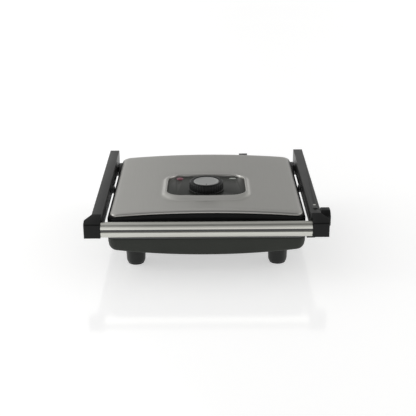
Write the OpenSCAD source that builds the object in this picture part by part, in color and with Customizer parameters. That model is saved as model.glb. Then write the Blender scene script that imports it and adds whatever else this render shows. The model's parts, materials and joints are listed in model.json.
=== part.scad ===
// Contact grill (panini press) with side arms, a floating lid and a bar handle.
// Origin: middle of the footprint on the standing surface. +X right, +Y to the rear hinge, +Z up.

/* [Base] */
// Width of the base shell
base_w = 312; // [290:1:340]
// Depth of the base shell
base_d = 282; // [270:1:288]
// Height of the base shell's upper edge above the standing surface
seam_z = 55.5; // [53:0.5:58]
// Height of the black rim on the base shell
rim_h = 6; // [5:0.5:7]
// Height of the middle of the base's underside
belly_z = 27; // [22:1:34]
// Rise of the underside from the middle to its ends
belly_rise = 10; // [4:1:12]
// Corner radius of base and lid in plan
corner_r = 14; // [13:1:20]
// Wall of the moulded shells
wall = 2.5; // [2:0.1:3.5]

/* [Feet] */
// Distance of a foot's centre from the shell's side
foot_inset_x = 41.5; // [32:0.5:56]
// Distance of a foot's centre from the shell's front and rear
foot_inset_y = 38; // [30:0.5:60]
// Diameter of a foot where it meets the shell
foot_d = 32; // [24:0.5:34]
// Height of the rubber pad under each foot
pad_h = 3; // [2:0.5:4]

/* [Plates] */
// Distance of a plate's side edges from the base's sides
plate_inset_x = 11; // [11:0.5:24]
// Distance of a plate's front and rear edges from the base's
plate_inset_y = 13; // [11:0.5:28]
// Thickness of a plate without its ribs
plate_t = 4; // [3:0.5:5]
// Height of the plate ribs
rib_h = 3; // [1.5:0.5:4]
// Distance from one rib to the next
rib_pitch = 12; // [9:0.5:16]

/* [Lid] */
// Distance of the steel cover's side edges from the base's sides
cover_inset = 4; // [4:0.5:12]
// Depth by which the lid reaches past the base at the rear
lid_back = 11; // [8:0.5:12]
// Height of the cover's crown above the standing surface
crown_z = 103; // [98:0.5:106]
// Rise of the crown from the side edges to the middle
crown_rise = 6.5; // [2:0.5:8]
// Height of the cover's turned-down edge
hem_h = 5.5; // [4:0.5:8]
// Sheet thickness of the cover
sheet_t = 1; // [0.8:0.1:1.4]
// Width of the black rim that shows beside the cover
rim_w = 3.5; // [2.5:0.5:3.5]

/* [Control panel] */
// Width of the panel
panel_w = 128; // [110:1:140]
// Depth of the panel
panel_d = 106; // [96:1:112]
// Distance of the panel's centre in front of the part's centre
panel_fwd = 25; // [14:1:28]
// Distance of the knob's centre in front of the panel's centre
knob_fwd = 11; // [4:1:16]
// Diameter of the knob's skirt
knob_d = 58; // [46:1:60]
// Height of the knob above the panel
knob_h = 15; // [12:0.5:17]

/* [Arms and handle] */
// Distance of an arm from the base's side
arm_space = 5.5; // [5.5:0.5:8]
// Width of an arm
arm_t = 16; // [14:0.5:18]
// Height of the arm's top face at the rear
arm_top_z = 104; // [100:1:108]
// Height of the arm's top face at the front
arm_front_z = 100; // [97:1:103]
// Depth of an end cap inside the arm's outer face, up to the steel bar
cap_lap = 14.7; // [12:0.1:18]
// Height of the handle's section
bar_h = 23.5; // [20:0.5:28]
// Depth of the handle's section
bar_t = 17; // [16:0.5:22]
// Height of the handle's centre above the standing surface
bar_z = 80.4; // [78:0.5:84]
// Distance by which an end cap reaches past the arm's outer face
cap_flare = 11; // [8:0.5:14]
// Height of the hinge axis above the standing surface
hinge_z = 70; // [66:1:74]
// Radius of the hinge pins
hinge_r = 5; // [4:0.5:6]
// Radius of the lid's pivot pins
pivot_r = 4; // [3:0.5:5]

/* [Lock] */
// Travel of the lock slider
lock_travel = 12; // [8:1:12]

/* [Hidden] */
$fn = 64;

charcoal = "#3f423d";
black = "#1d1e1e";
steel = "#a9a9a4";
cast_grey = "#3a3b3c";
zinc = "#b9bbb8";

fit = 0.05;          // radial clearance of a pin that turns in its bore
seat = 0.02;         // radial clearance of a pin that is pressed into its seat
gap = 0.5;           // gap between pieces that move past each other
joint_gap = 0.15;    // gap between moulded pieces that meet
cover_gap = 0.35;    // gap between the steel cover and the housing under it
plate_gap = 1;       // gap between the closed plates' ribs
arc_n = 8;           // flat steps in a rounded corner of an outline

// Widths and depths that follow the base
foot_span_x = base_w - 2 * foot_inset_x;
foot_span_y = base_d - 2 * foot_inset_y;
plate_w = base_w - 2 * plate_inset_x;
plate_d = base_d - 2 * plate_inset_y;
cover_w = base_w - 2 * cover_inset;
arms_w = base_w + 2 * (arm_space + arm_t);
bar_len = arms_w - 2 * cap_lap;
caps_w = arms_w + 2 * cap_flare;

// Base and lid outline
lid_w = cover_w + 2 * rim_w;
lid_d = base_d + lid_back;
lid_y = lid_back / 2;
lid_rear = base_d / 2 + lid_back;
cover_end_inset = 3;
cover_d = lid_d - 2 * cover_end_inset;
lid_r = corner_r;
cover_r = corner_r - rim_w;
arm_rear = base_d / 2 + lid_back + 18;
bar_front = arm_rear;

// Heights of the stack
plate_r = 12;
rib_margin = 14;
rib_foot = 6.8;
rib_crest = 4;
low_rib_top = seam_z + rim_h;
low_plate_z = low_rib_top - rib_h - plate_t;
up_rib_low = low_rib_top + plate_gap;
up_plate_top = up_rib_low + rib_h + plate_t;
lid_low_z = up_rib_low;
cover_edge_z = crown_z - crown_rise - hem_h;
panel_top = crown_z - 3;
lip_top = crown_z + 2.5;
panel_y = -panel_fwd;
panel_r = 24;
panel_t = 2.5;
lip_w = 8;
lip_front = 8;
panel_hole_w = panel_w + 2 * joint_gap;
panel_hole_d = panel_d + 2 * joint_gap;
knob_y = panel_y - knob_fwd;
cap_r = 21;
pointer_w = 1.2;
pointer_len = 5;
pointer_inset = 4.5;
shaft_r = 3;
shaft_sink = 8;

// Lamps
lamp_x = panel_w / 2 - 19;
lamp_y = panel_y + 42;
lamp_flange = 1;
power_lamp_r = 5.8;
ready_lamp_r = 2.3;
ready_lamp_half = 3.4;

// Crown: a cylinder along Y through the edges and the middle
crown_r = (pow(cover_w / 2, 2) + pow(crown_rise, 2)) / (2 * crown_rise);
belly_r = (pow(base_w / 2, 2) + pow(belly_rise, 2)) / (2 * belly_rise);
arc_fn = 720;

// Arms
arm_out = arms_w / 2;
arm_in = arm_out - arm_t;
arm_low_z = 74;
hinge_y = arm_rear - 12;
hinge_eye_r = arm_rear - hinge_y;
knee_y = -base_d / 2 - 5;
pivot_y = 4;
pivot_z = 86;
pivot_eye_r = 6.5;
bracket_t = 4.6;
bracket_in = base_w / 2;
bracket_front = base_d / 2 - 29;
bracket_low = 44;
bracket_eye = hinge_r + 6;
bracket_screw_y = [bracket_front + 9, bracket_front + 21];
bracket_screw_z = 51;
bracket_screw_r = 2;
pin_head_t = 3;

// Feet
foot_x = foot_span_x / 2;
foot_y = foot_span_y / 2;
foot_top_z = 40;
foot_wall = 3.4;
foot_taper = 1.6;
pad_d = foot_d - 6;
foot_screw_r = 2;

// Handle
bar_y = -bar_front + bar_t / 2;
bar_r = 7;
bar_wall = 1.4;
groove_z = bar_z + 1.5;
groove_h = 2.6;
groove_d = 2;
bar_screw_r = 1.8;
bar_screw_z = bar_z + 3;

// Heaters
heater_r = 3.3;
heater_turn_r = 38;
heater_half = plate_w / 2 - 51;
heater_gap = 0.2;
shield_w = 2 * (heater_half + heater_turn_r + heater_r) + 8;
shield_d = 2 * heater_turn_r + 40;

// Mains lead collar
cord_x = 78 - base_w / 2;
cord_z = 44;
cord_gland_r = 6;
terminal_half = 16;
terminal_x = -foot_x + foot_d / 2 + foot_wall + terminal_half + gap;
terminal_y = base_d / 2 - 34;

// Rear gland and conduit
conduit_x = 68;
conduit_r = 4.2;
conduit_low_z = 52;
conduit_top_z = 88;
cord_flange_w = 3;
cord_flange_t = 3;
cord_seat_gap = 0.1;
cord_stub = 3;
cord_sleeve = 14;
cord_taper = 1.2;
cord_hole_r = 3.5;
panel_low = panel_top - panel_t;
stat_r = 17;
stat_h = 10;
stat_drop = 14;
stat_neck_r = 8;
stat_neck_h = 4.8;
stat_neck_drop = 5;
stat_tab_x = 22;
stat_tab_y = 6;
stat_tab_t = 2;
stat_tab_drop = 15.5;
gland_r = 6.5;
gland_half = gland_r + 1;
stub_r = 4.5;
upper_stub_z = conduit_top_z + 1.5;

// Lock
lock_in = arm_out + gap;
lock_out = arm_out + 15.5;
lock_rear = knee_y + 24;
lock_front = knee_y;
lock_low_z = 57;
slider_low_z = 76;
tongue_z = 86;
tongue_h = 4;
hook_x = arm_in + 4.5;
hook_t = 2.2;
hook_front = lock_front + 8;
hook_rear = lock_rear - 10;
hook_tooth_h = 5;
catch_z = lock_low_z + hook_tooth_h + gap;
mark_y = lock_rear + 10;
guide_y = lock_rear - 5;
cap_screw_x = arm_in + 11.5;
cap_screw_z = [bar_z - 1, bar_z + 14];

// Points of a rectangle with round corners
function rounded(w, d, r, n = arc_n) = [
  for (c = [0:3])
    for (i = [0:n])
      let (a = c * 90 + i * 90 / n,
           sx = (c == 0 || c == 3) ? 1 : -1,
           sy = c < 2 ? 1 : -1)
        [sx * (w / 2 - r) + r * cos(a), sy * (d / 2 - r) + r * sin(a)]
];

module block(x0, x1, y0, y1, z0, z1) {
  translate([x0, y0, z0]) cube([x1 - x0, y1 - y0, z1 - z0]);
}

module slab(w, d, r, z0, z1) {
  translate([0, 0, z0]) linear_extrude(z1 - z0) polygon(rounded(w, d, r));
}

// Cylinder along +X from x0 to x1
module rod_x(x0, x1, y, z, r) {
  translate([min(x0, x1), y, z]) rotate([0, 90, 0]) cylinder(r = r, h = abs(x1 - x0));
}

// Side profile in Y and Z, extruded along X
module side_profile(x0, x1, points) {
  translate([x0, 0, 0]) rotate([90, 0, 90]) linear_extrude(x1 - x0) polygon(points);
}

// Everything below the crown, lowered by drop
module under_crown(drop) {
  translate([0, 0, crown_z - crown_r - drop])
    rotate([90, 0, 0]) cylinder(r = crown_r, h = 2 * arm_rear, center = true, $fn = arc_fn);
}

// Everything above the belly, raised by lift
module over_belly(lift) {
  translate([0, 0, belly_z + belly_r + lift])
    rotate([90, 0, 0]) cylinder(r = belly_r, h = 2 * arm_rear, center = true, $fn = arc_fn);
}

// Slab on the lid's centre, which lies behind the base's
module lid_slab(w, d, r, z0, z1) {
  translate([0, lid_y, 0]) slab(w, d, r, z0, z1);
}

module at_feet() {
  for (sx = [-1, 1]) for (sy = [-1, 1]) translate([sx * foot_x, sy * foot_y, 0]) children();
}

// ---------------------------------------------------------------- base

module base_shell() {
  color(charcoal) difference() {
    union() {
      difference() {
        intersection() { slab(base_w, base_d, corner_r, belly_z - 1, seam_z); over_belly(0); }
        intersection() {
          slab(base_w - 2 * wall, base_d - 2 * wall, corner_r - wall, belly_z, seam_z + 1);
          over_belly(wall);
        }
      }
      intersection() {
        at_feet() translate([0, 0, belly_z])
          cylinder(d = foot_d + 2 * foot_wall, h = foot_top_z + wall - belly_z);
        over_belly(wall / 2);
      }
    }
    at_feet() cylinder(d = foot_d + 2 * joint_gap, h = foot_top_z + joint_gap);
    at_feet() cylinder(r = foot_screw_r + joint_gap, h = seam_z);
    translate([cord_x, base_d / 2, cord_z]) rotate([90, 0, 0])
      cylinder(r = cord_gland_r + joint_gap, h = 6 * wall, center = true);
    translate([conduit_x, base_d / 2, conduit_low_z - gland_r]) rotate([90, 0, 0])
      cylinder(r = stub_r + joint_gap, h = 6 * wall, center = true);
  }
}

module base_rim() {
  color(black) difference() {
    slab(base_w - 1, base_d - 1, corner_r - 0.5, seam_z + joint_gap, low_rib_top);
    slab(plate_w + 2 * joint_gap, plate_d + 2 * joint_gap, plate_r + joint_gap, seam_z, low_rib_top + 1);
  }
}

// A plate with ribs that run front to back; ribs stand up from z
module ribbed_plate(z) {
  rib_count = floor((plate_w - 2 * rib_margin) / rib_pitch / 2) * 2;
  rib_sink = 0.5;
  slab(plate_w, plate_d, plate_r, z, z + plate_t);
  for (i = [-rib_count / 2 : rib_count / 2])
    translate([i * rib_pitch, plate_d / 2 - rib_margin, z + plate_t - rib_sink]) rotate([90, 0, 0])
      linear_extrude(plate_d - 2 * rib_margin) polygon([
        [-rib_foot / 2, 0], [rib_foot / 2, 0],
        [rib_crest / 2, rib_h + rib_sink], [-rib_crest / 2, rib_h + rib_sink]
      ]);
}

module lower_grill_plate() { color(cast_grey) ribbed_plate(low_plate_z); }

module upper_grill_plate() {
  color(cast_grey) translate([0, 0, up_plate_top + up_rib_low])
    mirror([0, 0, 1]) ribbed_plate(up_rib_low);
}

// Tubular heater: two straight runs joined by a half turn, lying at height z
module heater(z) {
  for (sy = [-1, 1]) translate([-heater_half, sy * heater_turn_r, z])
    rotate([0, 90, 0]) cylinder(r = heater_r, h = 2 * heater_half);
  translate([heater_half, 0, z]) rotate([0, 0, -90])
    rotate_extrude(angle = 180) translate([heater_turn_r, 0]) circle(r = heater_r, $fn = 32);
}

module lower_heating_element() { color(zinc) heater(low_plate_z - heater_r - heater_gap); }
module upper_heating_element() { color(zinc) heater(up_plate_top + heater_r + heater_gap); }

// Shallow tray of sheet metal between a heater and its housing
module shield_tray(z0, z1, w, d) {
  difference() {
    slab(w, d, 10, z0, z1);
    slab(w - 2, d - 2, 9, z0 + 1, z1 + 1);
  }
}

module lower_heat_shield() {
  color(zinc) shield_tray(low_plate_z - 2 * heater_r - 2, low_plate_z - 1.5, shield_w, shield_d);
}

module upper_heat_shield() {
  color(zinc) translate([0, 0, 2 * up_plate_top + 2 * heater_r + 3.5])
    mirror([0, 0, 1])
      shield_tray(up_plate_top + 1.5, up_plate_top + 2 * heater_r + 2, shield_w, shield_d);
}

// Foot: tapered post with a pad seat below and a screw up the middle
module foot(sx, sy) {
  color(black) translate([sx * foot_x, sy * foot_y, 0]) difference() {
    union() {
      translate([0, 0, belly_z + 6]) cylinder(d = foot_d, h = foot_top_z - belly_z - 6);
      translate([0, 0, pad_h - 1]) cylinder(d1 = foot_d - foot_taper, d2 = foot_d, h = belly_z + 7 - pad_h);
    }
    cylinder(d = pad_d + 2 * joint_gap, h = pad_h + joint_gap);
    cylinder(r = 4.5, h = pad_h + 4);
    cylinder(r = foot_screw_r + joint_gap, h = seam_z);
  }
}

module front_left_foot() { foot(-1, -1); }
module front_right_foot() { foot(1, -1); }
module rear_left_foot() { foot(-1, 1); }
module rear_right_foot() { foot(1, 1); }

module foot_pads() { color(black) at_feet() cylinder(d = pad_d, h = pad_h); }

module foot_screws() {
  color(zinc) at_feet() {
    translate([0, 0, pad_h + 1.5]) cylinder(r = 4, h = 2.5);
    translate([0, 0, pad_h + 3]) cylinder(r = foot_screw_r, h = foot_top_z + wall + 2 - pad_h - 3);
  }
}

// Hinge bracket on the base's side: a plate with the pin's seat
module hinge_bracket(s) {
  x0 = s > 0 ? bracket_in : -bracket_in - bracket_t;
  color(black) difference() {
    side_profile(x0, x0 + bracket_t, [
      [bracket_front, bracket_low], [base_d / 2 + 2, bracket_low], [hinge_y + 6, hinge_z - 10],
      [hinge_y + bracket_eye, hinge_z - 4], [hinge_y + bracket_eye, hinge_z + 4],
      [hinge_y + 6, hinge_z + bracket_eye], [hinge_y - 16, hinge_z + bracket_eye],
      [bracket_front, seam_z + 2]
    ]);
    rod_x(x0 - 1, x0 + bracket_t + 1, hinge_y, hinge_z, hinge_r + seat);
    for (y = bracket_screw_y)
      rod_x(x0 - 1, x0 + bracket_t + 1, y, bracket_screw_z, bracket_screw_r + joint_gap);
  }
}

module left_hinge_bracket() { hinge_bracket(-1); }
module right_hinge_bracket() { hinge_bracket(1); }

// Hinge pin: pressed in the bracket, and the arm turns on it
module hinge_pin(s) {
  color(zinc) {
    rod_x(s * bracket_in, s * (arm_out - 3), hinge_y, hinge_z, hinge_r);
    rod_x(s * (bracket_in - pin_head_t), s * bracket_in, hinge_y, hinge_z, hinge_r + 2);
  }
}

module left_hinge_pin() { hinge_pin(-1); }
module right_hinge_pin() { hinge_pin(1); }

module bracket_screws() {
  color(zinc) for (s = [-1, 1]) for (y = bracket_screw_y) {
    rod_x(s * (bracket_in + 0.1), s * (bracket_in + bracket_t), y, bracket_screw_z, bracket_screw_r);
    rod_x(s * (bracket_in + bracket_t), s * (bracket_in + bracket_t + 0.6), y, bracket_screw_z,
          2 * bracket_screw_r);
  }
}

// Strain relief collar for the mains lead
module cord_gland() {
  color(black) translate([cord_x, base_d / 2, cord_z]) rotate([-90, 0, 0]) difference() {
    union() {
      translate([0, 0, cord_seat_gap]) cylinder(r = cord_gland_r + cord_flange_w, h = cord_flange_t);
      translate([0, 0, -wall - cord_stub]) cylinder(r = cord_gland_r, h = wall + cord_stub + 1);
      translate([0, 0, cord_flange_t])
        cylinder(r1 = cord_gland_r, r2 = cord_gland_r - cord_taper, h = cord_sleeve);
    }
    translate([0, 0, -wall - cord_stub - 1])
      cylinder(r = cord_hole_r, h = wall + cord_stub + cord_flange_t + cord_sleeve + 2);
  }
}

module terminal_block() {
  color("#d8d5c8") difference() {
    block(terminal_x - terminal_half, terminal_x + terminal_half, terminal_y - 8, terminal_y + 8,
          belly_z + 9, belly_z + 20);
    for (i = [-1:1]) translate([terminal_x + i * 11, terminal_y, belly_z + 12]) cylinder(r = 2, h = 20);
  }
}

// Ledge on the base's right side that the lock slides under
module lock_catch() {
  color(black) side_profile(base_w / 2, arm_in - gap, [
    [hook_front + lock_travel - 5, catch_z], [hook_rear + lock_travel + 3, catch_z],
    [hook_rear + lock_travel + 4, lock_low_z - 1], [hook_rear + lock_travel + 9, lock_low_z - 1],
    [hook_rear + lock_travel + 9, catch_z + 4], [hook_front + lock_travel - 3, catch_z + 4],
    [hook_front + lock_travel - 5, catch_z + 2]
  ]);
}

// Elbow behind a shell: a stub through the shell's wall and a block with the conduit's mouth
module conduit_gland(shell_y, stub_z, z0, z1, mouth_z) {
  color(black) difference() {
    union() {
      translate([conduit_x, shell_y - wall - 2, stub_z]) rotate([-90, 0, 0])
        cylinder(r = stub_r, h = wall + 2.1);
      block(conduit_x - gland_half, conduit_x + gland_half, shell_y + 0.1, hinge_y + gland_half, z0, z1);
    }
    translate([conduit_x, hinge_y, mouth_z]) cylinder(r = conduit_r + joint_gap, h = 12, center = true);
  }
}

module lower_conduit_gland() {
  conduit_gland(base_d / 2, conduit_low_z - gland_r, conduit_low_z - 2 * gland_r, conduit_low_z,
                conduit_low_z);
}

module upper_conduit_gland() {
  conduit_gland(lid_rear, upper_stub_z, conduit_top_z - 4, conduit_top_z + gland_r + 3, conduit_top_z - 4);
}

// Sheathed wires that bend on the hinge's own axis, in two halves
module conduit_piece(z0, z1) {
  color(black) translate([conduit_x, hinge_y, z0]) cylinder(r = conduit_r, h = z1 - z0);
}

module conduit_lower() { conduit_piece(conduit_low_z - 4, hinge_z); }
module conduit_upper() { conduit_piece(hinge_z, conduit_top_z); }

// ---------------------------------------------------------------- arms and handle

// Upper face of the arm at y
function arm_top(y) = arm_front_z + (arm_top_z - arm_front_z) * (y - knee_y) / (arm_rear - knee_y);

module arm_blank(x0, x1) {
  side_profile(x0, x1, concat(
    [[arm_rear, arm_top_z - 2], [arm_rear - 2, arm_top_z], [knee_y, arm_front_z],
     [knee_y, bar_z - bar_h / 2 + 3], [knee_y + 12, arm_low_z - 1], [knee_y + 24, arm_low_z],
     [hinge_y - 2 * hinge_eye_r, arm_low_z]],
    [for (a = [200 : 10 : 360]) [hinge_y + hinge_eye_r * cos(a), hinge_z + hinge_eye_r * sin(a)]]
  ));
}

module arm(s) {
  x0 = s > 0 ? arm_in : -arm_out;
  color(black) difference() {
    arm_blank(x0, x0 + arm_t);
    rod_x(s * (arm_in - 1), s * (arm_out - 2.5), hinge_y, hinge_z, hinge_r + fit);
    rod_x(s * (arm_in - 1), s * (arm_out - 4), pivot_y, pivot_z, pivot_r + seat);
    for (z = cap_screw_z) translate([s * cap_screw_x, knee_y, z]) rotate([90, 0, 0])
      cylinder(r = 2, h = 30, center = true);
    if (s > 0) {
      block(hook_x - gap, arm_out + 1, lock_front + 3 - gap, lock_rear - 3 + lock_travel + gap,
            tongue_z - gap, tongue_z + tongue_h + gap);
      block(hook_x - gap, hook_x + hook_t + gap, hook_front - gap, hook_rear + lock_travel + gap,
            bar_z - bar_h, tongue_z + tongue_h + gap);
      translate([arm_in + 9, mark_y, arm_top(mark_y) - 1]) cylinder(r = 2.2 + joint_gap, h = 5);
      translate([arm_in + 9, guide_y, arm_top(guide_y) - 8]) cylinder(r = 1.5 + joint_gap, h = 12);
    }
  }
}

module left_arm() { arm(-1); }
module right_arm() { arm(1); }

// Outline of the handle's section in Y and Z, centred on it, shrunk by inset
function bar_outline(inset) = rounded(bar_t - 2 * inset, bar_h - 2 * inset, bar_r - inset);

module bar_solid(len, inset) {
  translate([-len / 2, bar_y, bar_z]) rotate([90, 0, 90]) linear_extrude(len) polygon(bar_outline(inset));
}

module handle_bar() {
  color(steel) difference() {
    bar_solid(bar_len, 0);
    bar_solid(bar_len + 4, bar_wall);
    block(-bar_len, bar_len, -bar_front - 1, -bar_front + groove_d,
          groove_z - groove_h / 2, groove_z + groove_h / 2);
  }
}

module handle_core() {
  color(black) difference() {
    bar_solid(bar_len, bar_wall + 0.1);
    block(-bar_len, bar_len, -bar_front - 1, -bar_front + groove_d + joint_gap,
          groove_z - groove_h / 2, groove_z + groove_h / 2);
    for (s = [-1, 1])
      rod_x(s * (bar_len / 2 - 25), s * (bar_len / 2 + 1), bar_y, bar_screw_z, bar_screw_r + joint_gap);
  }
}

module handle_strip() {
  color(black) block(-bar_len / 2 + 0.2, bar_len / 2 - 0.2, -bar_front + 0.9, -bar_front + groove_d,
                     groove_z - groove_h / 2 + 0.05, groove_z + groove_h / 2 - 0.05);
}

// End cap: holds the bar and flares from the arm to the handle's full width
module end_cap(s) {
  cap_in = bar_len / 2 + joint_gap;
  cap_out = caps_w / 2;
  low = bar_z - bar_h / 2;
  bevel = 1.5;
  rear = knee_y - joint_gap;
  color(black) mirror([s < 0 ? 1 : 0, 0, 0]) difference() {
    intersection() {
      translate([0, 0, low]) linear_extrude(arm_front_z - low) polygon([
        [cap_in, rear], [arm_out, rear], [cap_out, rear - 12], [cap_out, -bar_front + bevel],
        [cap_out - bevel, -bar_front], [cap_in, -bar_front]
      ]);
      side_profile(cap_in - 1, cap_out + 1, [
        [rear + 1, low + 3], [rear - 3, low], [-bar_front + bevel, low], [-bar_front, low + bevel],
        [-bar_front, bar_z + bar_h / 2 - bevel], [-bar_front + bevel, bar_z + bar_h / 2],
        [-bar_front + 8, bar_z + bar_h / 2 + 1.5], [rear, arm_front_z], [rear + 1, arm_front_z]
      ]);
    }
    rod_x(cap_in - 1, cap_in + 16, bar_y, bar_screw_z, bar_screw_r + joint_gap);
    for (z = cap_screw_z) translate([cap_screw_x, rear, z]) rotate([90, 0, 0])
      cylinder(r = 2, h = 16, center = true);
  }
}

module left_end_cap() { end_cap(-1); }
module right_end_cap() { end_cap(1); }

// Lid pivot pin: fixed in the arm, and the lid's boss turns on it
module pivot_pin(s) {
  color(zinc) rod_x(s * (arm_out - 4.5), s * (lid_w / 2 + 0.6), pivot_y, pivot_z, pivot_r);
}

module left_pivot_pin() { pivot_pin(-1); }
module right_pivot_pin() { pivot_pin(1); }

module cap_screws() {
  color(zinc) for (s = [-1, 1]) {
    for (z = cap_screw_z) translate([s * cap_screw_x, knee_y + 12, z]) rotate([90, 0, 0])
      cylinder(r = bar_screw_r, h = 19);
    rod_x(s * (bar_len / 2 - 22), s * (bar_len / 2 + 14), bar_y, bar_screw_z, bar_screw_r);
  }
}

module lock_guide_screw() {
  color(black) translate([arm_in + 9, guide_y, arm_top(guide_y)]) {
    translate([0, 0, 0.25]) cylinder(r = 3.2, h = 1.6);
    translate([0, 0, -7]) cylinder(r = 1.5, h = 7.5);
  }
}

module lock_mark() {
  color("#c9c9c4") translate([arm_in + 9, mark_y, arm_top(mark_y) - 0.9]) cylinder(r = 2.2, h = 1.1);
}

// ---------------------------------------------------------------- lid

module upper_housing() {
  color(black) difference() {
    intersection() {
      lid_slab(lid_w, lid_d, lid_r, lid_low_z, crown_z);
      under_crown(sheet_t + cover_gap);
      union() {
        lid_slab(cover_w - 2 * sheet_t - 2 * cover_gap, cover_d - 2 * sheet_t - 2 * cover_gap,
                 cover_r - sheet_t - cover_gap, lid_low_z, crown_z + 1);
        under_crown(hem_h + cover_gap);
      }
    }
    intersection() {
      slab(plate_w + 2 * joint_gap, plate_d + 2 * joint_gap, plate_r + joint_gap, lid_low_z - 1, crown_z);
      under_crown(sheet_t + 2 * wall);
    }
    intersection() {
      lid_slab(cover_w - 4 * wall, cover_d - 4 * wall, cover_r - 2 * wall, up_plate_top + wall, crown_z);
      under_crown(sheet_t + 2 * wall);
    }
    translate([0, panel_y, 0])
      slab(panel_w + 1, panel_d + 1, panel_r, panel_top - panel_t - joint_gap, crown_z + 1);
    translate([0, panel_y, 0]) slab(panel_w - 6, panel_d - 6, panel_r - 3, panel_top - 14, crown_z + 1);
    translate([conduit_x, lid_rear, upper_stub_z]) rotate([90, 0, 0])
      cylinder(r = stub_r + joint_gap, h = 8 * wall, center = true);
  }
}

module lid_cover() {
  color(steel) difference() {
    union() {
      difference() {
        intersection() {
          lid_slab(cover_w, cover_d, cover_r, cover_edge_z - 1, crown_z + 1);
          under_crown(0);
        }
        intersection() {
          lid_slab(cover_w - 2 * sheet_t, cover_d - 2 * sheet_t, cover_r - sheet_t,
                   cover_edge_z - 2, crown_z);
          under_crown(sheet_t);
        }
        under_crown(hem_h);
      }
      difference() {
        translate([0, panel_y - lip_front / 2, 0])
          slab(panel_w + 2 * lip_w, panel_d + 2 * lip_w + lip_front, panel_r + lip_w,
               crown_z - 3 * sheet_t, lip_top);
        under_crown(sheet_t / 2);
      }
    }
    translate([0, panel_y, 0]) slab(panel_hole_w, panel_hole_d, panel_r, crown_z - 20, lip_top + 1);
  }
}

module control_panel() {
  color("#434444") difference() {
    translate([0, panel_y, 0]) slab(panel_w, panel_d, panel_r, panel_top - panel_t, panel_top);
    translate([0, knob_y, panel_top - panel_t - 1]) cylinder(r = 5, h = panel_t + 2);
    translate([-lamp_x, lamp_y, panel_top - panel_t - 1])
      cylinder(r = power_lamp_r + joint_gap, h = panel_t + 2);
    translate([lamp_x, lamp_y, 0])
      pill(ready_lamp_half, ready_lamp_r + joint_gap, panel_top - panel_t - 1, panel_top + 1);
  }
}

// Upright pill: two cylinders and the block between them
module pill(half, r, z0, z1) {
  for (s = [-1, 1]) translate([s * half, 0, z0]) cylinder(r = r, h = z1 - z0);
  block(-half, half, -r, r, z0, z1);
}

// Round lens with a flange under the panel and a domed top
module power_lamp() {
  dome_r = 14;
  color("#a02038") translate([-lamp_x, lamp_y, 0]) {
    translate([0, 0, panel_top - panel_t - 4]) cylinder(r = power_lamp_r, h = panel_t + 4.6);
    translate([0, 0, panel_top - panel_t - 2.6]) cylinder(r = power_lamp_r + lamp_flange, h = 2.4);
    intersection() {
      translate([0, 0, panel_top + 0.5]) cylinder(r = power_lamp_r, h = 3);
      translate([0, 0, panel_top + 1.8 - dome_r]) sphere(r = dome_r);
    }
  }
}

// Slim lens with a flange under the panel
module ready_lamp() {
  color("#c8cdc6") translate([lamp_x, lamp_y, 0]) {
    pill(ready_lamp_half, ready_lamp_r, panel_top - panel_t - 4, panel_top + 0.9);
    pill(ready_lamp_half, ready_lamp_r + lamp_flange, panel_top - panel_t - 2.6, panel_top - panel_t - 0.2);
  }
}

module lamp_board() {
  color("#6b5a34") block(-lamp_x - 9, lamp_x + 9, lamp_y - 5, lamp_y + 5,
                          panel_top - panel_t - 6, panel_top - panel_t - 4.2);
}

module thermostat() {
  color(zinc) difference() {
    union() {
      translate([0, knob_y, panel_low - stat_drop]) cylinder(r = stat_r, h = stat_h);
      translate([0, knob_y, panel_low - stat_neck_drop]) cylinder(r = stat_neck_r, h = stat_neck_h);
      block(-stat_tab_x, stat_tab_x, knob_y - stat_tab_y, knob_y + stat_tab_y,
            panel_low - stat_tab_drop, panel_low - stat_tab_drop + stat_tab_t);
    }
    translate([0, knob_y, panel_low - shaft_sink]) cylinder(r = shaft_r + fit, h = stat_drop + stat_h);
  }
}

module thermostat_shaft() {
  color(zinc) translate([0, knob_y, panel_top - panel_t - shaft_sink + 0.2])
    cylinder(r = shaft_r, h = panel_t + shaft_sink + knob_h - 5.2);
}

// Pivot boss on the lid's side, bored for the arm's pin
module pivot_boss(s) {
  color(black) difference() {
    rod_x(s * (lid_w / 2 + 0.05), s * (arm_in - gap), pivot_y, pivot_z, pivot_eye_r);
    rod_x(s * (lid_w / 2 - 1), s * (arm_in + 1), pivot_y, pivot_z, pivot_r + fit);
  }
}

module left_pivot_boss() { pivot_boss(-1); }
module right_pivot_boss() { pivot_boss(1); }

module lid_screws() {
  color(zinc) for (sx = [-1, 1]) for (sy = [-1, 1])
    translate([sx * (plate_w / 2 - 20), sy * (plate_d / 2 - 20), up_plate_top + 0.1]) {
      cylinder(r = 3.5, h = 2);
      cylinder(r = 1.8, h = 14);
    }
}

// ---------------------------------------------------------------- knob

module knob_body() {
  z0 = panel_top + 0.6;
  top = panel_top + knob_h - 1;
  color(black) difference() {
    translate([0, knob_y, 0]) rotate_extrude($fn = 96) polygon([
      [0, z0], [knob_d / 2 - 1, z0], [knob_d / 2, z0 + 1], [knob_d / 2 - 1.2, top - 2],
      [knob_d / 2 - 3, top], [cap_r + 0.1, top], [cap_r + 0.1, top - 2], [0, top - 2]
    ]);
    translate([0, knob_y, z0 - 1]) cylinder(r = shaft_r + seat, h = knob_h - 4.4);
    for (i = [0:23]) rotate_about_knob(i * 15 + 7.5) translate([knob_d / 2 + 0.6, 0, z0 + 2])
      cylinder(r = 1.5, h = knob_h, $fn = 24);
  }
}

module rotate_about_knob(a) {
  translate([0, knob_y, 0]) rotate([0, 0, a]) children();
}

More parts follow.
